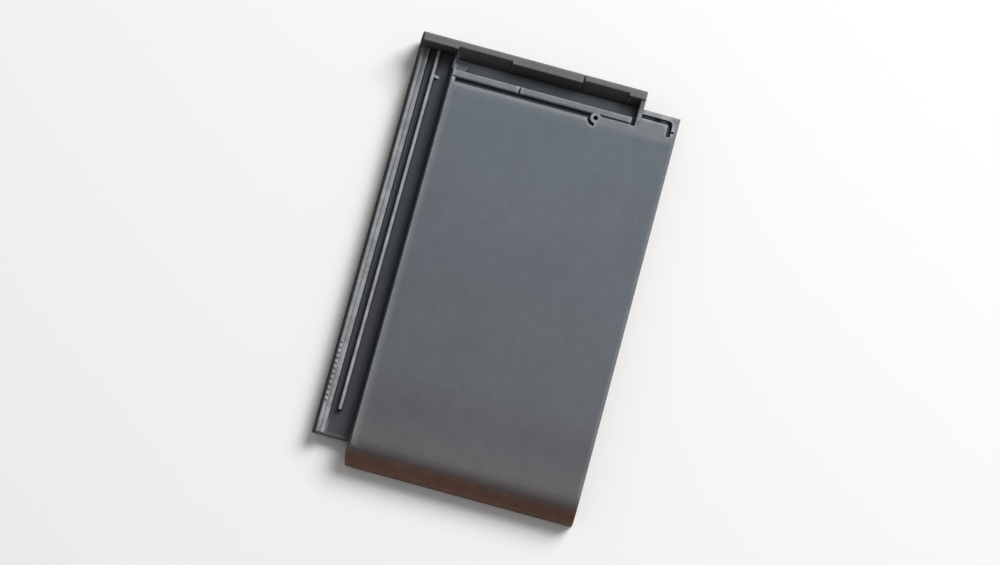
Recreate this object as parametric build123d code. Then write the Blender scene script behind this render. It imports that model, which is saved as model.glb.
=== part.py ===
from build123d import *
import os

# A flat interlocking clay roof tile, pressed and fired as one piece.
# It lies face up as on a floor: X runs across it with the side lock at the left, Y runs up
# towards the head, and Z is the height above the floor. The origin is under its middle.

# Overall sizes: from one tile to the next is the cover width, and the side lock lies under the lap
overall_length = 450.0
cover_width = 240.7
face_joint = 2.4
face_height = 32.0
plate_thickness = 12.0
nose_radius = 23.5
face_edge_round = 1.3
face_roll_run = 9.0
face_roll_drop = 0.6
face_roll_round = 60.0
nose_foot_round = 1.0
edge_land = 5.0

# Side lock, left of the face: depths are taken down from the face
lock_depth = 18.0
lock_floor_thickness = 9.0
lock_wall_run = 4.1
lock_rib_height = 6.5
lock_rib_round = 0.9
lock_groove_round = 1.2
lock_foot_round = 2.0
outer_wall_run = 3.7
outer_crest_width = 2.5
crest_valley_width = 1.8
crest_valley_depth = 0.9
inner_crest_width = 3.8
rib_flank_run = 1.4
rib_groove_width = 5.3
middle_rib_width = 2.9
middle_rib_stop = 28.0
drain_groove_width = 12.5
gusset_width = 5.0
gusset_length = 3.0
gusset_setback = 36.5
gusset_drop = 1.0
web_thickness = 10.5
web_slope_run = 8.0

# Row of plain ticks across the outer crest
tick_count = 12
tick_pitch = 5.6
tick_length = 2.2
tick_depth = 1.1
tick_first_setback = 331.0

# Cover lock, under the right edge of the face: it seats in the next tile's side lock
lock_gap = 2.5
side_gap = 1.2
tongue_gap = 0.75
lip_gap = 3.9
lip_draft_run = 3.0
lip_round = 1.0

# Head lock, along the back edge
head_gap = 1.0
rim_height = 8.0
rim_thickness = 6.4
rim_pad_thickness = 2.8
rim_foot_width = 15.8
rim_lock_foot_run = 2.0
rim_end_run = 1.3
rim_round = 1.5
rim_end_round = 1.2
centre_pad_offset = 98.1
centre_pad_length = 74.0
right_pad_length = 17.5
rim_notch_width = 2.2
rim_notch_depth = 3.0
channel_width = 19.2
channel_depth = 9.0
channel_wall_run = 2.4
channel_round = 1.6
ramp_width = 18.0
ramp_run = 8.0
ramp_fade_run = 12.0
ramp_drop = 3.0
lower_rib_width = 7.2
lower_rib_drop = 0.6
lower_rib_round = 1.2
lower_rib_brow_round = 2.6
head_groove_width = 5.0
head_groove_depth = 5.5
head_groove_wall_run = 0.9
head_groove_land = 4.0
fine_groove_width = 2.6
fine_groove_depth = 2.4
face_bevel_run = 2.6
face_bevel_drop = 1.6
weep_slit_offset = 111.0
weep_slit_width = 2.0
weep_slit_depth = 4.0
end_wall_thickness = 4.8
end_wall_drop = 1.5
end_wall_round = 1.2
end_slot_width = 4.5
end_slot_reach = 1.6
end_slot_depth = 7.0

# Nail hole and the boss round it
nail_hole_offset = 194.5
nail_hole_setback = 39.5
nail_hole_radius = 2.5
nail_boss_radius = 5.8
nail_boss_round = 1.0
nail_ring_width = 3.2

# Right head corner, which laps over the next tile's side lock
corner_setback = 17.2
corner_round = 1.2
corner_rim_width = 5.0
corner_edge_width = 6.4
corner_groove_width = 4.6
corner_groove_depth = 5.0
corner_groove_reach = 22.0
corner_groove_round = 1.0
corner_tick_setback = 15.5
corner_tick_width = 1.8
corner_tick_length = 3.2

# Underside: head beam, hanging nibs, foot rib and stiffening ribs
head_beam_depth = 20.0
head_beam_length = 33.0
head_beam_round = 2.5
nib_width = 30.0
nib_foot_length = 10.0
nib_spacing = 84.0
nib_slope_run = 7.0
nib_end_run = 3.0
nib_round = 2.5
foot_rib_setback = 46.0
foot_rib_width = 7.0
foot_rib_flank_run = 3.5
foot_rib_lift = 3.0
foot_rib_round = 2.0
batten_land = 50.0
stiffener_width = 9.0
stiffener_height = 4.5
stiffener_flank_run = 3.0
stiffener_round = 1.5

# How far a cut runs past the clay, and how far one form roots in the next
overrun = 5.0
root = 2.0

# Heights and places that follow from the sizes above
crest_end = outer_wall_run + outer_crest_width + crest_valley_width + inner_crest_width
groove_start = crest_end + rib_flank_run
middle_rib_left = groove_start + rib_groove_width
middle_rib_offset = middle_rib_left + rib_flank_run + middle_rib_width / 2
middle_rib_right = middle_rib_offset + middle_rib_width / 2 + rib_flank_run
lock_wall_foot = middle_rib_right + drain_groove_width
lock_width = lock_wall_foot + lock_wall_run
overall_width = cover_width + lock_width - face_joint
plate_underside = face_height - plate_thickness
lock_floor = face_height - lock_depth
lock_underside = lock_floor - lock_floor_thickness
lock_crest = lock_floor + lock_rib_height
cover_ceiling = lock_crest + lock_gap
lip_foot = lock_floor + lock_gap
channel_floor = face_height - channel_depth
beam_underside = face_height - head_beam_depth
rim_top = face_height + rim_height
nose_start = overall_length - nose_radius
head_lock_end = cover_width - head_gap
end_slot_right = head_lock_end - end_wall_thickness
end_slot_left = end_slot_right - end_slot_width
rim_depth = rim_thickness + rim_pad_thickness
lower_rib_start = rim_depth + channel_width
lower_rib_end = lower_rib_start + lower_rib_width
head_groove_end = lower_rib_end + head_groove_width
face_start = head_groove_end + face_bevel_run + face_roll_run


def across(offset):
    """X of a place given as its distance from the left edge."""
    return offset - overall_width / 2


def along(setback):
    """Y of a place given as its distance from the head edge."""
    return overall_length / 2 - setback


def outline(corners):
    """Closed face from rows of two coordinates and the radius that softens the corner."""
    points = [(first, second) for first, second, _ in corners]
    rounds = [radius for _, _, radius in corners]
    return make_face(FilletPolyline(*points, radius=rounds, close=True).edges())


def cross_section(corners):
    """Face across the tile from rows of offset, height and corner radius."""
    return Plane.XZ * outline([(across(offset), height, radius) for offset, height, radius in corners])


def long_section(corners):
    """Face along the tile from rows of setback, height and corner radius."""
    return Plane.YZ * outline([(along(setback), height, radius) for setback, height, radius in corners])


def plan_shape(corners):
    """Face seen from above from rows of offset, setback and corner radius."""
    return outline([(across(offset), along(setback), radius) for offset, setback, radius in corners])


def run_along(section, start, end):
    """Runs a cross section down the tile between two setbacks from the head edge."""
    return Pos(0, along(start), 0) * extrude(section, amount=end - start, dir=(0, -1, 0))


def run_across(section, start, end):
    """Runs a long section over the tile between two offsets from the left edge."""
    return Pos(across(start), 0, 0) * extrude(section, amount=end - start, dir=(1, 0, 0))


def sink(shape, top, depth):
    """Cutter that takes a plan shape down from just above one height."""
    return Pos(0, 0, top - depth) * extrude(shape, amount=depth + overrun, dir=(0, 0, 1))


def rectangle(left, right, back, front):
    """Plan rectangle between two offsets and two setbacks."""
    return plan_shape([(left, back, 0), (right, back, 0), (right, front, 0), (left, front, 0)])


def tile_section():
    """Side lock, wall, plate and cover lock in one line, as pressed."""
    valley = outer_wall_run + outer_crest_width + crest_valley_width / 2
    inner_crest = crest_end - inner_crest_width
    tongue_left = cover_width + groove_start + tongue_gap
    tongue_right = cover_width + middle_rib_left - tongue_gap
    lip_outer = overall_width - lip_draft_run
    lip_inner = cover_width + middle_rib_right + lip_gap
    web_foot = lock_width + web_thickness - rib_flank_run
    return cross_section([
        (0, lock_underside, lock_foot_round),
        (0, lock_underside + edge_land, 0),
        (outer_wall_run, lock_crest, lock_rib_round),
        (outer_wall_run + outer_crest_width, lock_crest, lock_rib_round),
        (valley, lock_crest - crest_valley_depth, 0),
        (inner_crest, lock_crest, lock_rib_round),
        (crest_end, lock_crest, lock_rib_round),
        (groove_start, lock_floor, lock_groove_round),
        (lock_wall_foot, lock_floor, lock_groove_round),
        (lock_width, face_height - face_roll_drop, face_edge_round),
        (lock_width + face_roll_run, face_height, face_roll_round),
        (overall_width, face_height, face_edge_round),
        (overall_width, face_height - edge_land, 0),
        (lip_outer, lip_foot, lip_round),
        (lip_inner, lip_foot, lip_round),
        (lip_inner - rib_flank_run, cover_ceiling, lip_round),
        (tongue_right + rib_flank_run, cover_ceiling, lip_round),
        (tongue_right, lip_foot, lip_round),
        (tongue_left, lip_foot, lip_round),
        (tongue_left - rib_flank_run, cover_ceiling, lip_round),
        (cover_width, cover_ceiling, 0),
        (cover_width - side_gap, plate_underside, 0),
        (web_foot + web_slope_run, plate_underside, lock_foot_round),
        (web_foot, lock_underside, lock_foot_round),
    ])


def nose():
    """The plate's front edge turned down on an arc to its foot on the floor."""
    wall_drop_share = (plate_thickness - face_roll_drop) / (lock_depth - face_roll_drop)
    lip_drop_share = (plate_thickness - edge_land) / (face_height - edge_land - lip_foot)
    plate = Pos(0, along(nose_start), 0) * cross_section([
        (lock_width - lock_wall_run * wall_drop_share, plate_underside, 0),
        (lock_width, face_height - face_roll_drop, face_edge_round),
        (lock_width + face_roll_run, face_height, face_roll_round),
        (overall_width, face_height, face_edge_round),
        (overall_width, face_height - edge_land, 0),
        (overall_width - lip_draft_run * lip_drop_share, plate_underside, 0),
    ])
    axis = Axis((0, along(nose_start), face_height - nose_radius), (1, 0, 0))
    curve = revolve(plate, axis=axis, revolution_arc=90)
    skirt = extrude(plate.rotate(axis, 90), amount=face_height - nose_radius, dir=(0, 0, -1))
    foot = skirt.faces().sort_by(Axis.Z)[0]
    return curve + fillet(foot.edges(), nose_foot_round)


def middle_rib():
    """Rib between the two grooves of the side lock, with the small gusset near its head."""
    half = middle_rib_width / 2
    rib = run_along(cross_section([
        (middle_rib_left, lock_floor, 0),
        (middle_rib_left, lock_floor - root, 0),
        (middle_rib_right, lock_floor - root, 0),
        (middle_rib_right, lock_floor, 0),
        (middle_rib_offset + half, lock_crest, lock_rib_round),
        (middle_rib_offset - half, lock_crest, lock_rib_round),
    ]), root, nose_start - middle_rib_stop)
    gusset = run_along(cross_section([
        (middle_rib_offset, lock_floor - root, 0),
        (middle_rib_right + gusset_width, lock_floor - root, 0),
        (middle_rib_right + gusset_width, lock_floor, 0),
        (middle_rib_offset + half, lock_crest - gusset_drop, 0),
        (middle_rib_offset, lock_crest - gusset_drop, 0),
    ]), gusset_setback, gusset_setback + gusset_length)
    return rib + gusset


def crest_ticks():
    """Cutter for the row of plain ticks across the outer crest of the side lock."""
    width = outer_wall_run + outer_crest_width
    tick = rectangle(-overrun, width, tick_first_setback, tick_first_setback + tick_length)
    cut = sink(tick, lock_crest, tick_depth)
    return Part() + [Pos(0, -index * tick_pitch, 0) * cut for index in range(tick_count)]


def head_channel():
    """Cutter for the rain channel behind the lower rib, rounded over the rib's back edge."""
    rib_crest = face_height - lower_rib_drop
    lip = rim_top + overrun
    return run_across(long_section([
        (-overrun, lip, 0),
        (-overrun, channel_floor, 0),
        (lower_rib_start - channel_wall_run, channel_floor, channel_round),
        (lower_rib_start, rib_crest, lower_rib_round),
        (lower_rib_end - lower_rib_width / 2, rib_crest, 0),
        (lower_rib_end - lower_rib_width / 2, lip, 0),
    ]), -overrun, end_slot_right)


def channel_ramp():
    """Slope in the left end of the rain channel, from its floor up the lower rib's back."""
    wall = lower_rib_start + root
    start = lower_rib_start - channel_wall_run - ramp_run
    end = lock_width + ramp_width
    slope = run_across(long_section([
        (start, channel_floor - root, 0),
        (start, channel_floor, 0),
        (wall, face_height - ramp_drop, 0),
        (wall, channel_floor - root, 0),
    ]), lock_width, end)
    return slope - run_along(cross_section([
        (end - ramp_fade_run, face_height, 0),
        (end, channel_floor - root, 0),
        (end + overrun, channel_floor - root, 0),
        (end + overrun, face_height, 0),
    ]), start - overrun, wall + overrun)


def head_groove():
    """Cutter for the groove before the face: a fine outlet, wide to the nail boss, then fine again."""
    rib_crest = face_height - lower_rib_drop
    rib_middle = lower_rib_end - lower_rib_width / 2
    wide_floor = face_height - head_groove_depth
    fine_floor = face_height - fine_groove_depth
    lip = rim_top + overrun
    wide = run_across(long_section([
        (rib_middle, lip, 0),
        (rib_middle, rib_crest, 0),
        (lower_rib_end, rib_crest, lower_rib_brow_round),
        (lower_rib_end + head_groove_wall_run, wide_floor, 0),
        (head_groove_end - head_groove_wall_run, wide_floor, 0),
        (head_groove_end, face_height - face_bevel_drop, 0),
        (head_groove_end + face_bevel_run, face_height - face_roll_drop / 2, face_roll_run),
        (face_start, face_height, 0),
        (face_start, lip, 0),
    ]), lock_width + head_groove_land, nail_hole_offset)
    fine_section = long_section([
        (rib_middle, lip, 0),
        (rib_middle, rib_crest, 0),
        (lower_rib_end - fine_groove_width / 2, rib_crest, 0),
        (lower_rib_end, fine_floor, 0),
        (lower_rib_end + fine_groove_width / 2, face_height, 0),
        (lower_rib_end + fine_groove_width / 2, lip, 0),
    ])
    outlet = run_across(fine_section, lock_wall_foot, lock_width + head_groove_land)
    fine = run_across(fine_section, nail_hole_offset, end_slot_left)
    reach = nail_boss_radius + nail_ring_width
    ring = Pos(across(nail_hole_offset), along(nail_hole_setback), 0) * Circle(reach)
    left_side = rectangle(nail_hole_offset - reach, nail_hole_offset, lower_rib_end, face_start + reach)
    return wide + outlet + fine + sink(ring & left_side, face_height, head_groove_depth)


def nail_boss():
    """Round boss on the lower rib that carries the nail hole."""
    foot = plate_underside + root
    boss = Pos(0, 0, foot) * extrude(Circle(nail_boss_radius), amount=face_height - foot)
    crown = boss.edges().group_by(Axis.Z)[-1]
    return Pos(across(nail_hole_offset), along(nail_hole_setback), 0) * fillet(crown, nail_boss_round)


def nail_hole():
    """Cutter for the nail hole, through the boss and the plate."""
    drill = extrude(Circle(nail_hole_radius), amount=face_height + overrun)
    return Pos(across(nail_hole_offset), along(nail_hole_setback), 0) * drill


def rim_bar(thickness, foot_width, start, end):
    """One stretch of the head rim, as thick as asked at its top and at its foot."""
    foot = (lock_floor + beam_underside) / 2
    return run_across(long_section([
        (0, foot, 0),
        (0, rim_top, rim_round),
        (thickness, rim_top, rim_round),
        (foot_width, channel_floor, 0),
        (foot_width, foot, 0),
    ]), start, end)


def head_rim():
    """Raised rim along the back edge, thicker at its three pads, with its left end drawn in."""
    foot = (lock_floor + beam_underside) / 2
    centre_pad_end = centre_pad_offset + centre_pad_length
    rim = rim_bar(rim_depth, rim_depth + rim_lock_foot_run, 0, lock_width)
    rim += rim_bar(rim_thickness, rim_foot_width, lock_width, head_lock_end)
    rim += rim_bar(rim_depth, rim_foot_width, centre_pad_offset, centre_pad_end)
    rim += rim_bar(rim_depth, rim_foot_width, head_lock_end - right_pad_length, head_lock_end)
    rim -= run_along(cross_section([
        (0, foot, 0),
        (rim_end_run, rim_top, 0),
        (rim_end_run, rim_top + overrun, 0),
        (-overrun, rim_top + overrun, 0),
        (-overrun, foot, 0),
    ]), -overrun, rim_foot_width + overrun)
    notch = rectangle(centre_pad_end, centre_pad_end + rim_notch_width, -overrun, rim_depth + overrun)
    rim -= sink(notch, rim_top, rim_notch_depth)
    sides = rim.faces().sort_by(Axis.X)
    ends = sides[0].edges().sort_by(Axis.Z)[1:] + sides[-1].edges().sort_by(Axis.Z)[1:]
    return fillet(ends, rim_end_round)


def end_wall():
    """Wall that closes the head lock at the right and slopes down to the face."""
    wall = run_across(long_section([
        (root, plate_underside + root, 0),
        (root, rim_top - end_wall_drop, 0),
        (rim_depth, rim_top - end_wall_drop, 0),
        (lower_rib_end, face_height, 0),
        (lower_rib_end, plate_underside + root, 0),
    ]), end_slot_right, head_lock_end)
    slope = wall.edges().filter_by(Axis.X, reverse=True).filter_by(Axis.Z, reverse=True)
    return fillet(slope.filter_by(lambda edge: edge.center().Z > face_height), end_wall_round)


def end_slot():
    """Cutter for the drain slot between the lower rib and the end wall."""
    front = lower_rib_end + end_slot_reach
    slot = rectangle(end_slot_left, end_slot_right, lower_rib_start - overrun, front)
    return sink(slot, face_height, end_slot_depth)


def weep_slit():
    """Cutter for the narrow slit that drains over the lower rib."""
    slit_end = weep_slit_offset + weep_slit_width
    slit = rectangle(weep_slit_offset, slit_end, lower_rib_start - overrun, lower_rib_end)
    return sink(slit, face_height, weep_slit_depth)


def corner_groove():
    """Cutter for the bent groove in the right head corner, with its small side tick."""
    back = corner_setback + corner_rim_width
    right = overall_width - corner_edge_width
    front = corner_setback + corner_groove_reach
    bend = plan_shape([
        (head_lock_end, back, 0),
        (right, back, corner_groove_width),
        (right, front, corner_groove_round),
        (right - corner_groove_width, front, corner_groove_round),
        (right - corner_groove_width, back + corner_groove_width, corner_groove_round),
        (head_lock_end, back + corner_groove_width, 0),
    ])
    tick_back = corner_setback + corner_tick_setback
    tick_left = right - corner_groove_width / 2
    tick = rectangle(tick_left, right + corner_tick_length, tick_back, tick_back + corner_tick_width)
    return sink(bend + tick, face_height, corner_groove_depth)


def corner_step():
    """Cutter that sets the right head corner back from the head edge and rounds its brow."""
    return run_across(long_section([
        (-overrun, -overrun, 0),
        (corner_setback, -overrun, 0),
        (corner_setback, face_height, corner_round),
        (corner_setback + overrun, face_height, 0),
        (corner_setback + overrun, rim_top, 0),
        (-overrun, rim_top, 0),
    ]), head_lock_end, overall_width + overrun)


def head_beam():
    """Thickening under the head lock that the nibs hang from."""
    left = lock_width + web_thickness / 2
    return run_across(long_section([
        (0, beam_underside, head_beam_round),
        (0, channel_floor - root, 0),
        (head_beam_length, channel_floor - root, 0),
        (head_beam_length, beam_underside, head_beam_round),
    ]), left, head_lock_end - side_gap)


def nib(centre):
    """Hanging nib: a square face towards the foot, a sloped back and drawn-in ends."""
    half = nib_width / 2
    back = head_beam_length - nib_foot_length
    crown = beam_underside + root
    block = run_across(long_section([
        (head_beam_length, crown, 0),
        (head_beam_length, 0, 0),
        (back, 0, 0),
        (back - nib_slope_run, crown, 0),
    ]), centre - half, centre + half)
    for side in (-1, 1):
        block -= run_along(cross_section([
            (centre + side * half, crown, 0),
            (centre + side * (half - nib_end_run), 0, 0),
            (centre + side * (half + overrun), 0, 0),
            (centre + side * (half + overrun), crown, 0),
        ]), -overrun, head_beam_length + overrun)
    return fillet(block.faces().sort_by(Axis.Z)[0].edges(), nib_round)


def foot_rib():
    """Cross rib under the plate that closes the lap over the tile below."""
    setback = overall_length - foot_rib_setback
    half = foot_rib_width / 2
    return run_across(long_section([
        (setback - half - foot_rib_flank_run, plate_underside + root, 0),
        (setback - half, foot_rib_lift, foot_rib_round),
        (setback + half, foot_rib_lift, foot_rib_round),
        (setback + half + foot_rib_flank_run, plate_underside + root, 0),
    ]), lock_width + web_thickness, cover_width - side_gap)


def stiffener(centre):
    """Shallow rib along the underside, from the foot rib up to the batten's seat."""
    half = stiffener_width / 2
    foot = plate_underside - stiffener_height
    return run_along(cross_section([
        (centre - half - stiffener_flank_run, plate_underside + root, 0),
        (centre - half, foot, stiffener_round),
        (centre + half, foot, stiffener_round),
        (centre + half + stiffener_flank_run, plate_underside + root, 0),
    ]), head_beam_length + batten_land, overall_length - foot_rib_setback)


def roof_tile():
    """The whole tile as one solid."""
    middle = overall_width / 2
    nib_centres = [middle - nib_spacing / 2, middle + nib_spacing / 2]
    tile = run_along(tile_section(), 0, nose_start) - head_channel() - head_groove()
    tile -= weep_slit()
    tile -= end_slot()
    tile += channel_ramp() + nail_boss()
    tile -= corner_step()
    tile -= corner_groove()
    tile -= crest_ticks()
    tile += nose()
    tile += middle_rib()
    tile += head_beam()
    tile += head_rim()
    tile += end_wall()
    tile += foot_rib()
    for centre in nib_centres:
        tile += nib(centre)
        tile += stiffener(centre)
    return tile - nail_hole()


os.makedirs("parts", exist_ok=True)
export_step(roof_tile(), "parts/roof_tile.step")
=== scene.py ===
# %% [markdown]
# # A clay roof tile in the studio
# The object is one flat interlocking roof tile: red-brown clay pressed in a mould, sprayed with a
# slate-grey engobe (a thin coat of coloured clay slip) and fired. Its shape comes from the CAD model,
# so this lesson is about surface, light and camera. The first cell loads the model and keeps its box.

# %% Load the tile
import math

import bpy
from mathutils import Matrix, Vector


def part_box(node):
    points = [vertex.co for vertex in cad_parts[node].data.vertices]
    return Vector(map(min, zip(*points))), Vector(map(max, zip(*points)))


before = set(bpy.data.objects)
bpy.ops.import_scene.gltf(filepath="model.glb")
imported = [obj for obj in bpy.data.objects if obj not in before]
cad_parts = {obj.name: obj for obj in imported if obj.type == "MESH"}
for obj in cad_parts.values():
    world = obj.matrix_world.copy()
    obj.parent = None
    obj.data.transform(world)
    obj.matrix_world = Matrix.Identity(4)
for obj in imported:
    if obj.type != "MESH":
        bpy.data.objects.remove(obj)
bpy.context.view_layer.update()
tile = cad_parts["roof_tile"]
low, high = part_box("roof_tile")
print("tile", tile.name, "is", [round(size * 1000) for size in high - low], "mm")

# %% [markdown]
# Colours are easiest to read off a picture as sRGB hex values, but shaders work in linear light, so one
# small function turns one into the other. A second one adds a shader node: it sets what the node is told
# and either links or fills each socket. A Mix node has several sockets called A and B, so those go by number: 2
# and 3 for plain numbers, 6 and 7 for colours. Real sizes are kept in millimetres and turned to metres once.

# %% Two helpers and a unit
MM = 0.001


def linear(hex_colour):
    """Linear RGBA of an sRGB hex colour."""
    parts = [int(hex_colour[place:place + 2], 16) / 255 for place in (1, 3, 5)]
    return [p / 12.92 if p <= 0.04045 else ((p + 0.055) / 1.055) ** 2.4 for p in parts] + [1.0]


def add_node(tree, kind, sockets=None, **settings):
    """Adds a shader node, sets its options and links or fills its sockets."""
    node = tree.nodes.new(kind)
    for name, value in settings.items():
        setattr(node, name, value)
    for socket, value in (sockets or {}).items():
        if isinstance(value, bpy.types.NodeSocket):
            tree.links.new(value, node.inputs[socket])
        else:
            node.inputs[socket].default_value = value
    return node


print("middle grey is", round(linear("#808080")[0], 3), "in linear light")

# %% [markdown]
# ## Engobed fired clay
# Engobe is sprayed on from above before firing, so it lies thick on the face, thins out over the turned-down
# nose and on raised edges, and never reaches the underside, where the bare red-brown clay shows. To the eye it
# is a matt slate grey with a slight sheen, a soft clouding from the spray and the fine grain of the clay below.
# The material is made in steps: first the places (position and facing), then masks, then colour, then relief.
# A few places on the tile are named here, measured from its box, because the wear, painted shade and painted
# highlight follow them.

# %% Start the material and read position and facing
clay = bpy.data.materials.new("engobed_fired_clay")
clay.use_nodes = True
tree = clay.node_tree
tree.nodes.clear()
here = add_node(tree, "ShaderNodeTexCoord")
place = here.outputs["Object"]
spot = add_node(tree, "ShaderNodeSeparateXYZ", {"Vector": place}).outputs
facing = add_node(tree, "ShaderNodeSeparateXYZ", {"Vector": here.outputs["Normal"]}).outputs
outer_wall_end = low.x + 3.8 * MM
outer_rib_end = low.x + 13.0 * MM
lock_wall = low.x + 36.0 * MM
face_left = low.x + 40.8 * MM
face_head = high.y - 42.0 * MM
rim_foot = high.y - 16.0 * MM
lock_foot = low.y + 23.5 * MM
face_top = low.z + 32.0 * MM
rib_top = low.z + 20.5 * MM
lock_floor = low.z + 14.0 * MM
plate_under = low.z + 20.0 * MM
print("material", clay.name, "face is", round((face_head - low.y) / MM), "mm long")

# %% [markdown]
# Each pattern is a noise whose scale is worked out from a real size. A noise repeats about once in one unit,
# so a grain of so many millimetres needs a scale of one over that length in metres. The clouds are the spray's
# passes, the mottle is how the slip dried, the peel is its pebbled skin and the grain is the sand in the clay.
# The grain on a real tile is about 0.4 mm: it is drawn at 0.9 mm here so that it shows at all in the picture.

# %% Patterns at real sizes
pattern_mm = {"cloud": 85.0, "mottle": 14.0, "peel": 3.2, "grain": 0.9}
pattern = {}
for name, size in pattern_mm.items():
    noise = add_node(
        tree, "ShaderNodeTexNoise", {"Vector": place, "Scale": 1 / (size * MM), "Detail": 3.0, "Roughness": 0.55})
    pattern[name] = noise.outputs["Fac"]
print("patterns", pattern_mm)

# %% [markdown]
# Two patterns have a shape of their own. Streaks are the faint lines that the mould and the conveyor draw along
# the tile: the same noise, with the place stretched so that a streak is narrow across and long along Y. Specks
# are grains of iron and tiny pits: Voronoi cells hold one point each, and only what lies within 0.6 mm of a
# point counts. One in three points is kept, by the random colour that each cell also has.

# %% Streaks and specks
streak_mm = (2.5, 140.0, 2.5)
stretched = add_node(
    tree, "ShaderNodeVectorMath", {0: place, 1: [1 / (size * MM) for size in streak_mm]}, operation="MULTIPLY")
streak = add_node(tree, "ShaderNodeTexNoise", {"Vector": stretched.outputs[0], "Scale": 1.0, "Detail": 2.0})
pattern["streak"] = streak.outputs["Fac"]
speck_spacing_mm = 8.0
speck_radius_mm = 0.6
speck_cut = 0.66
cells = add_node(tree, "ShaderNodeTexVoronoi", {"Vector": place, "Scale": 1 / (speck_spacing_mm * MM)})
speck_reach = speck_radius_mm / speck_spacing_mm
speck_dot = add_node(
    tree, "ShaderNodeMapRange",
    {"Value": cells.outputs["Distance"], "From Min": speck_reach, "From Max": speck_reach / 2})
speck_kind = add_node(tree, "ShaderNodeSeparateXYZ", {"Vector": cells.outputs["Color"]}).outputs
speck_kept = add_node(tree, "ShaderNodeMath", {0: speck_kind["X"], 1: speck_cut}, operation="GREATER_THAN")
print("streaks", streak_mm, "specks", speck_radius_mm)

# %% [markdown]
# The bare nose starts on the face's front margin and goes round the turned-down edge. The way round it is
# measured as the distance forward less half the height, and the mottle makes the line between slip and clay
# uneven. The spray's own reach round an edge is made uneven in the same way, on the facing.

# %% The way round the nose and the reach of the spray
nose_swing_mm = 10.0
spray_swing = 0.3
half_height = add_node(tree, "ShaderNodeMath", {0: spot["Z"], 1: -0.5}, operation="MULTIPLY")
nose_way = add_node(tree, "ShaderNodeMath", {0: half_height.outputs[0], 1: spot["Y"]}, operation="SUBTRACT")
nose_line = add_node(
    tree, "ShaderNodeMath",
    {0: pattern["mottle"], 1: nose_swing_mm * MM, 2: nose_way.outputs[0]}, operation="MULTIPLY_ADD")
spray_reach = add_node(
    tree, "ShaderNodeMath", {0: pattern["mottle"], 1: spray_swing, 2: facing["Z"]}, operation="MULTIPLY_ADD")
print("nose line wanders by", nose_swing_mm, "mm")

# %% [markdown]
# Ambient Occlusion looks out into the open and finds recesses, and these are painted darker as shade, since the
# light falls in less there. The same node turned inwards finds raised edges, where little clay lies behind the
# surface; these are painted paler, partly as slip worn off by tiles rubbing on each other and partly as painted
# highlight. Two more ways are measured for the wear and painted highlight in the side lock: the distance from
# the top edge of its wall, which hardly wears, and the way down the ribs, on a slant, because the inner crest
# starts to wear further from the rim than the outer one.

# %% Recesses, raised edges and two ways in the lock
recess_reach_mm = 24.0
edge_reach_mm = 5.0
look_rays = 8
open_sky = add_node(
    tree, "ShaderNodeAmbientOcclusion", {"Distance": recess_reach_mm * MM}, samples=look_rays, only_local=True)
clay_behind = add_node(
    tree, "ShaderNodeAmbientOcclusion", {"Distance": edge_reach_mm * MM},
    samples=look_rays, only_local=True, inside=True)
wall_edge = face_left - 1 * MM
from_wall_edge = add_node(tree, "ShaderNodeMath", {0: spot["X"], 1: wall_edge}, operation="SUBTRACT")
wall_edge_way = add_node(tree, "ShaderNodeMath", {0: from_wall_edge.outputs[0]}, operation="ABSOLUTE")
rib_slant = 8.0
rib_way = add_node(
    tree, "ShaderNodeMath", {0: spot["X"], 1: rib_slant, 2: spot["Y"]}, operation="MULTIPLY_ADD")
outer_crest = low.x + 5 * MM
rib_start = rim_foot + rib_slant * outer_crest
print("looks out", recess_reach_mm, "mm and in", edge_reach_mm, "mm")

# %% [markdown]
# A mask says where something is and how strongly. Map Range with a smooth step turns a position or a facing
# into one: each row here gives the value, where it starts and ends, and the strength at both ends.

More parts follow.
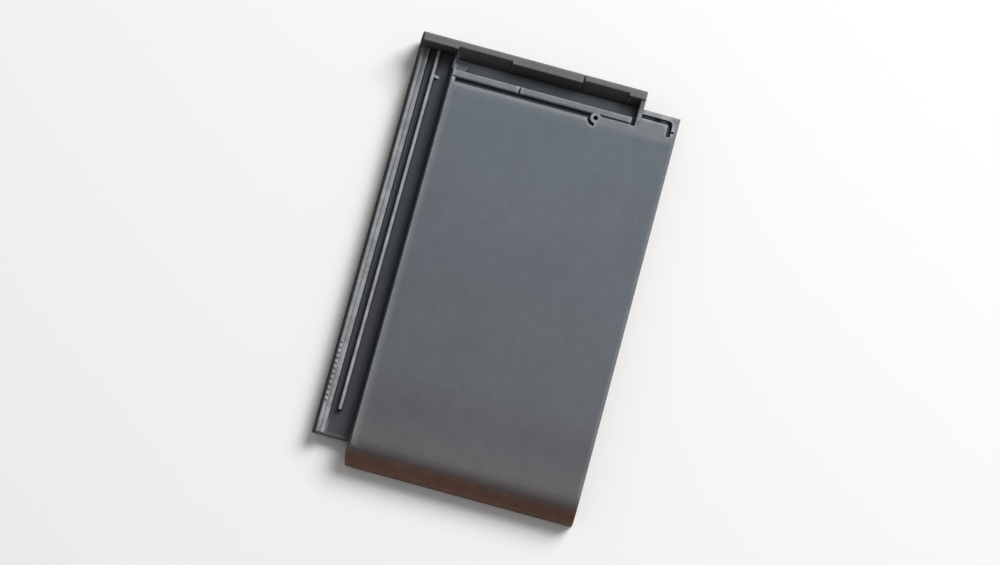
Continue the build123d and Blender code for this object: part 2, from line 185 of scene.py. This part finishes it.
# %% Masks
mask_rows = {
    "sprayed": (spray_reach.outputs[0], -0.30, 0.10, 0.0, 1.0),
    "bare nose": (nose_line.outputs[0], 195 * MM, 214 * MM, 0.0, 1.0),
    "right of lock": (spot["X"], lock_wall - 2 * MM, lock_wall, 0.0, 1.0),
    "low down": (spot["Z"], plate_under + 4 * MM, plate_under + 1 * MM, 0.0, 1.0),
    "not facing up": (facing["Z"], 0.45, 0.25, 0.0, 1.0),
    "under the face": (spot["X"], face_left + 1 * MM, face_left + 3 * MM, 0.0, 1.0),
    "off the back": (spot["Y"], high.y - 1 * MM, high.y - 3 * MM, 0.0, 1.0),
    "in the lock": (spot["X"], lock_wall + 2 * MM, lock_wall, 0.0, 1.0),
    "lock floor": (spot["Z"], lock_floor + 3 * MM, lock_floor + 0.5 * MM, 0.0, 0.8),
    "recess": (open_sky.outputs["AO"], 0.94, 0.45, 0.0, 1.0),
    "clay recess": (open_sky.outputs["AO"], 0.85, 0.35, 0.0, 0.8),
    "nose foot": (spot["Z"], low.z + 10 * MM, low.z + 3 * MM, 0.0, 0.6),
    "steep": (facing["Z"], 0.60, 0.25, 0.0, 0.5),
    "outer wall": (spot["X"], outer_wall_end + 0.3 * MM, outer_wall_end - 0.7 * MM, 0.0, 0.85),
    "raised": (clay_behind.outputs["AO"], 0.95, 0.55, 0.0, 1.0),
    "level": (facing["Z"], 0.25, 0.60, 0.2, 1.0),
    "faces the nose": (facing["Y"], -0.30, -0.60, 0.0, 1.0),
    "at the rim": (spot["Y"], rim_foot - 1 * MM, rim_foot, 0.0, 0.45),
    "before the rim": (spot["Y"], rim_foot, rim_foot - 8 * MM, 0.0, 1.0),
    "before the rim foot": (spot["Y"], rim_foot + 1 * MM, rim_foot, 0.0, 1.0),
    "inside the wall": (spot["X"], outer_wall_end - 0.7 * MM, outer_wall_end + 0.3 * MM, 0.1, 1.0),
    "away from the rim": (rib_way.outputs[0], rib_start, rib_start - 14 * MM, 0.0, 1.0),
    "close to the rim": (rib_way.outputs[0], rib_start, rib_start + 16 * MM, 0.0, 0.7),
    "well down the ribs": (rib_way.outputs[0], rib_start - 20 * MM, rib_start - 100 * MM, 0.65, 1.0),
    "near the lock foot": (spot["Y"], lock_foot + 20 * MM, lock_foot + 12 * MM, 0.0, 0.4),
    "rib flank": (spot["X"], outer_rib_end + 2 * MM, outer_rib_end - 0.5 * MM, 0.0, 1.0),
    "off the lock foot": (spot["Y"], lock_foot + 1 * MM, lock_foot + 4 * MM, 0.1, 1.0),
    "off the rib end": (spot["Y"], lock_foot + 0.2 * MM, lock_foot + 1.2 * MM, 0.2, 1.0),
    "off the wall edge": (wall_edge_way.outputs[0], 0.6 * MM, 2 * MM, 0.35, 1.0),
    "inside the right edge": (spot["X"], high.x - 1 * MM, high.x - 4 * MM, 0.25, 1.0),
    "below rim": (spot["Z"], face_top + 1 * MM, face_top + 5 * MM, 1.0, 0.2),
    "uneven": (pattern["mottle"], 0.35, 0.65, 0.6, 1.0),
    "rib crest": (spot["Z"], rib_top - 2.5 * MM, rib_top - 0.3 * MM, 0.0, 0.8),
    "outer ribs": (spot["X"], outer_rib_end, outer_rib_end - 1 * MM, 0.0, 1.0),
    "left margin": (spot["X"], face_left + 11 * MM, face_left, 0.0, 0.24),
    "head margin": (spot["Y"], face_head - 8 * MM, face_head, 0.0, 0.20),
    "on the face": (spot["Z"], face_top - 1.5 * MM, face_top - 0.7 * MM, 0.0, 1.0),
}
mask = {"speck dot": speck_dot.outputs[0], "speck kept": speck_kept.outputs[0]}
for name, (value, start, end, start_strength, end_strength) in mask_rows.items():
    step = add_node(
        tree, "ShaderNodeMapRange",
        {"Value": value, "From Min": start, "From Max": end, "To Min": start_strength, "To Max": end_strength},
        interpolation_type="SMOOTHSTEP")
    mask[name] = step.outputs[0]
print(len(mask), "masks")

# %% [markdown]
# Masks are multiplied where all of them must hold. So an edge is painted pale where it is raised and not a steep
# wall, unevenly, and less on the rim at the head, which no other tile slides over: partly worn slip, partly
# painted highlight. The double crest of the side lock and the face's left and head margins are painted pale over
# their whole width, and the crest's flank only near the lock's foot, again as wear and painted highlight. Painted
# shade lies on the lock's floor, a painted shadow of the rim lies on the inner crest close to it, and steep walls
# right of the lock, the rim's front, the outer wall and the lock's end are painted dark as shade. The clay is bare
# round the nose and under the plate. The back of the rim is kept out of most of these, so that it stays plain.

# %% Masks that hold together
joint_masks = {
    "bare front": ("bare nose", "right of lock"),
    "dark foot": ("nose foot", "bare nose", "right of lock"),
    "bare below": ("low down", "not facing up", "under the face", "off the back"),
    "rubbed and lit edge": (
        "raised", "level", "below rim", "uneven", "inside the wall", "inside the right edge", "off the lock foot"),
    "rubbed and lit ribs": (
        "rib crest", "outer ribs", "uneven", "away from the rim", "well down the ribs", "inside the wall",
        "off the rib end"),
    "rubbed and lit flank": ("rib flank", "near the lock foot", "inside the wall", "off the rib end"),
    "rubbed and lit left": ("left margin", "right of lock", "on the face", "before the rim", "off the wall edge"),
    "rubbed and lit head": ("head margin", "right of lock", "on the face", "before the rim"),
    "shaded rim front": ("faces the nose", "at the rim"),
    "shaded rim over the lock": ("faces the nose", "at the rim", "in the lock"),
    "shaded lock end": ("faces the nose", "in the lock", "before the rim"),
    "shaded wall": ("steep", "right of lock", "off the back"),
    "shaded outer wall": ("outer wall", "off the back"),
    # painted shadow: the crests close to the rim are painted dark where the rim's shadow falls
    "rim shadow on crests": ("close to the rim", "outer ribs", "before the rim foot"),
    "lock floor shade": ("lock floor", "in the lock", "off the back"),
    "speck": ("speck dot", "speck kept"),
}
for name, parts in joint_masks.items():
    product = mask[parts[0]]
    for part in parts[1:]:
        product = add_node(tree, "ShaderNodeMath", {0: product, 1: mask[part]}, operation="MULTIPLY").outputs[0]
    mask[name] = product
# painted highlight and wear: raised edges, crests, a flank and the face's margins are painted pale
rubbed_and_lit = mask["rubbed and lit edge"]
for name in ("rubbed and lit ribs", "rubbed and lit flank", "rubbed and lit left", "rubbed and lit head"):
    rubbed_and_lit = add_node(tree, "ShaderNodeMath", {0: rubbed_and_lit, 1: mask[name]}, operation="MAXIMUM").outputs[0]
# painted shade: recesses found by Ambient Occlusion and the lock's floor are painted darker
recess_shade = add_node(tree, "ShaderNodeMath", {0: mask["recess"], 1: mask["lock floor shade"]}, operation="MAXIMUM").outputs[0]
bare = add_node(tree, "ShaderNodeMath", {0: mask["bare front"], 1: mask["bare below"]}, operation="MAXIMUM")
covered = add_node(tree, "ShaderNodeMath", {0: 1.0, 1: bare.outputs[0]}, operation="SUBTRACT")
engobe = add_node(
    tree, "ShaderNodeMath", {0: covered.outputs[0], 1: mask["sprayed"]}, operation="MULTIPLY").outputs[0]
print("joint masks", list(joint_masks))

# %% [markdown]
# The engobe's colour drifts from a neutral grey on the rim and a bluer one at the head to a warmer and a little
# darker one at the foot, where the slip is thin. Just before the nose a lighter band is a painted highlight, and
# the stops round the nose grow darker as painted shade. A Color Ramp along the tile's length holds all of this.

# %% Engobe colour along the tile
length_way = add_node(tree, "ShaderNodeMapRange", {"Value": spot["Y"], "From Min": high.y, "From Max": low.y})
tone_and_light = add_node(tree, "ShaderNodeValToRGB", {"Fac": length_way.outputs[0]})
# a lighter band before the nose is a painted highlight; the darker stops round the nose are painted shade
tone_and_light_stops = [
    (0.02, "#5f6063"), (0.06, "#5c656c"), (0.45, "#585f66"), (0.75, "#575b61"), (0.85, "#535359"),
    (0.93, "#5b585b"), (0.958, "#524e50"), (0.970, "#423d3f"), (0.985, "#3a3637"),
]
ramp = tone_and_light.color_ramp.elements
while len(ramp) < len(tone_and_light_stops):
    ramp.new(0.5)
for element, (share, colour) in zip(ramp, tone_and_light_stops):
    element.position = share
    element.color = linear(colour)
print("tone_and_light", tone_and_light_stops)

# %% [markdown]
# Colours are then laid over each other as a painter would: painted shade in the recesses and on the lock's floor,
# darker steep walls and a dark front on the rim as painted shade, a painted shadow of the rim on the crests near
# it, the outer wall and the lock's end darkest as painted shade, and the worn places pale, partly as wear and
# partly as painted highlight. The patterns only shift the result by a few percent each, so they are turned into a
# gain round
# 1 that scales the colour. Specks take a third of the light away.

# %% Engobe colour with soot and wear
layers = [
    # painted shade: steep walls, the rim's front, the outer wall and the lock's end are painted dark
    (recess_shade, "#2b2f35"), (mask["shaded wall"], "#33363b"), (mask["shaded rim front"], "#1f1d1f"),
    (mask["shaded rim over the lock"], "#1f1d1f"), (mask["rim shadow on crests"], "#2e2a2a"),
    (mask["shaded outer wall"], "#17191b"), (mask["shaded lock end"], "#17191b"), (rubbed_and_lit, "#a2a4a7"),
]
shade = tone_and_light.outputs["Color"]
for factor, colour in layers:
    shade = add_node(
        tree, "ShaderNodeMix", {"Factor": factor, 6: shade, 7: linear(colour)}, data_type="RGBA").outputs[2]
speck_shade = 0.66
gain_swings = {"cloud": 0.05, "mottle": 0.04, "grain": 0.06, "streak": 0.03}
gain = add_node(
    tree, "ShaderNodeMapRange", {"Value": mask["speck"], "To Min": 1.0, "To Max": speck_shade}).outputs[0]
for name, swing in gain_swings.items():
    part = add_node(
        tree, "ShaderNodeMapRange",
        {"Value": pattern[name], "From Min": 0.3, "From Max": 0.7, "To Min": 1 - swing, "To Max": 1 + swing})
    gain = add_node(tree, "ShaderNodeMath", {0: gain, 1: part.outputs[0]}, operation="MULTIPLY").outputs[0]
engobe_colour = add_node(tree, "ShaderNodeVectorMath", {0: shade, "Scale": gain}, operation="SCALE").outputs[0]
print(len(layers), "layers over the drift")

# %% [markdown]
# Bare fired clay is warmer and rougher, and its colour varies more, because iron in the clay fires unevenly:
# the mottle moves it between two browns, and clouds, streaks and pebbles of a darker firing lie over them. Painted
# shade darkens the recesses underneath and the foot of the nose.

# %% Clay colour and the blend of both
clay_dark, clay_pale, clay_fired, clay_painted_shade = "#5e3e30", "#7c5440", "#4e3226", "#22160f"
fired_share = 0.45
clay_mix = add_node(
    tree, "ShaderNodeMix",
    {"Factor": pattern["mottle"], 6: linear(clay_dark), 7: linear(clay_pale)}, data_type="RGBA").outputs[2]
for name in ("cloud", "streak", "peel"):
    fired = add_node(
        tree, "ShaderNodeMapRange",
        {"Value": pattern[name], "From Min": 0.45, "From Max": 0.75, "To Max": fired_share})
    clay_mix = add_node(
        tree, "ShaderNodeMix",
        {"Factor": fired.outputs[0], 6: clay_mix, 7: linear(clay_fired)}, data_type="RGBA").outputs[2]
# painted shade: the clay's recesses and the nose's foot are painted darker
for name in ("clay recess", "dark foot"):
    clay_mix = add_node(
        tree, "ShaderNodeMix",
        {"Factor": mask[name], 6: clay_mix, 7: linear(clay_painted_shade)}, data_type="RGBA").outputs[2]
clay_colour = add_node(tree, "ShaderNodeVectorMath", {0: clay_mix, "Scale": gain}, operation="SCALE").outputs[0]
surface_colour = add_node(
    tree, "ShaderNodeMix", {"Factor": engobe, 6: clay_colour, 7: engobe_colour}, data_type="RGBA").outputs[2]
print("engobe over clay between", clay_dark, "and", clay_pale)

# %% [markdown]
# Relief is a chain of bumps, each a fraction of a millimetre: the pebbled skin of sprayed slip, the grain and
# the pits. The chain starts from the Bevel node, which rounds sharp edges for the light by 0.6 mm, as firing
# does. Roughness is about 0.5 on engobe, a little uneven with the mottle, 0.85 on bare clay, and close to 1 on
# the outer wall painted dark as shade, which would shine too much where it is seen edge on.

# %% Relief, roughness and the shader
edge_softening_mm = 0.6
engobe_rough_low, engobe_rough_high = 0.44, 0.58
clay_rough = 0.85
outer_wall_rough = 1.0
normal = add_node(tree, "ShaderNodeBevel", {"Radius": edge_softening_mm * MM}, samples=4).outputs[0]
for height, depth_mm in ((pattern["peel"], 0.05), (pattern["grain"], 0.03), (mask["speck"], -0.10)):
    normal = add_node(
        tree, "ShaderNodeBump", {"Height": height, "Distance": abs(depth_mm) * MM, "Normal": normal},
        invert=depth_mm < 0).outputs[0]
rough_engobe = add_node(
    tree, "ShaderNodeMapRange",
    {"Value": pattern["mottle"], "To Min": engobe_rough_low, "To Max": engobe_rough_high})
rough_clean = add_node(
    tree, "ShaderNodeMix", {"Factor": engobe, 2: clay_rough, 3: rough_engobe.outputs[0]}, data_type="FLOAT")
roughness = add_node(
    tree, "ShaderNodeMix",
    {"Factor": mask["shaded outer wall"], 2: rough_clean.outputs[0], 3: outer_wall_rough}, data_type="FLOAT")
shader = add_node(
    tree, "ShaderNodeBsdfPrincipled",
    {"Base Color": surface_colour, "Roughness": roughness.outputs[0], "IOR": 1.5, "Normal": normal})
add_node(tree, "ShaderNodeOutputMaterial", {"Surface": shader.outputs[0]})
tile.data.materials.clear()
tile.data.materials.append(clay)
print("tile wears", [slot.name for slot in tile.data.materials])

# %% [markdown]
# ## Studio
# The tile lies on a plain pale floor of matt paper. One flat face is enough for it, so wide that its edge never
# comes into the picture.

# %% Floor
floor_mesh = bpy.data.meshes.new("studio_floor")
reach = 20.0
floor_mesh.from_pydata(
    [(-reach, -reach, 0), (reach, -reach, 0), (reach, reach, 0), (-reach, reach, 0)], [], [(0, 1, 2, 3)])
floor = bpy.data.objects.new("studio_floor", floor_mesh)
bpy.context.scene.collection.objects.link(floor)
paper = bpy.data.materials.new("matt_studio_paper")
paper.use_nodes = True
paper_shader = paper.node_tree.nodes["Principled BSDF"]
paper_shader.inputs["Base Color"].default_value = linear("#f8f8f7")
paper_shader.inputs["Roughness"].default_value = 0.9
floor_mesh.materials.append(paper)
print("floor", floor.name, "is", 2 * reach, "m wide")

# %% [markdown]
# An even pale sky fills the shadows. It is darker for the light it gives than for what the camera sees, so that
# the grooves stay deep while the background stays pale: Light Path tells the two kinds of ray apart.

# %% Sky
sky_given = 0.30
sky_shown = 1.0
world = bpy.data.worlds.new("pale_studio")
bpy.context.scene.world = world
world.use_nodes = True
sky = world.node_tree
sky.nodes.clear()
seen = add_node(sky, "ShaderNodeLightPath")
given = add_node(sky, "ShaderNodeBackground", {"Color": linear("#ffffff"), "Strength": sky_given})
shown = add_node(sky, "ShaderNodeBackground", {"Color": linear("#f6f6f5"), "Strength": sky_shown})
both = add_node(
    sky, "ShaderNodeMixShader", {0: seen.outputs["Is Camera Ray"], 1: given.outputs[0], 2: shown.outputs[0]})
add_node(sky, "ShaderNodeOutputWorld", {"Surface": both.outputs[0]})
print("sky", world.name, "gives", sky_given)

# %% [markdown]
# One large soft lamp stands over the head's right side, as the shadows in the locks show. A square area lamp has
# soft shadow edges, as a studio's softbox has, and it is turned to look at the tile's middle.

# %% Lamp
key_place = Vector((3.2, 4.9, 5.2))
key_size = 4.0
key_watts = 670.0
key_data = bpy.data.lights.new("key_lamp", "AREA")
key_data.shape = "SQUARE"
key_data.size = key_size
key_data.energy = key_watts
key = bpy.data.objects.new("key_lamp", key_data)
bpy.context.scene.collection.objects.link(key)
key.location = key_place
key.rotation_mode = "QUATERNION"
key.rotation_quaternion = (-key_place).to_track_quat("-Z", "Y")
print("lamp", key.name, "of", key_watts, "W")

# %% [markdown]
# ## Camera
# The picture was taken from far off with a long lens, nearly straight down: tipped a little towards the nose
# and rolled so that the tile stands askew. The angles come from fitting the tile's outer edges to the picture,
# 1000 pixels wide.

# %% Camera
view_distance = 4.5
view_tilt = math.radians(11.439)
view_roll = math.radians(15.213)
view_target = Vector((4.58, -6.19, 30.0)) * MM
picture_width = 1000.0
focal_pixels = 4428.0
back = Vector((0, -math.sin(view_tilt), math.cos(view_tilt)))
across = Vector((1, 0, 0))
upright = back.cross(across)
right = across * math.cos(view_roll) + upright * math.sin(view_roll)
up = upright * math.cos(view_roll) - across * math.sin(view_roll)
camera_data = bpy.data.cameras.new("photo_camera")
camera_data.sensor_fit = "HORIZONTAL"
camera_data.lens = focal_pixels / picture_width * camera_data.sensor_width
camera_data.clip_end = 100.0
camera = bpy.data.objects.new("photo_camera", camera_data)
bpy.context.scene.collection.objects.link(camera)
turn = Matrix((right, up, back)).transposed().to_4x4()
camera.matrix_world = Matrix.Translation(view_target + back * view_distance) @ turn
bpy.context.scene.camera = camera
bpy.context.scene.view_settings.view_transform = "Standard"
print("lens", round(camera_data.lens, 1), "mm")
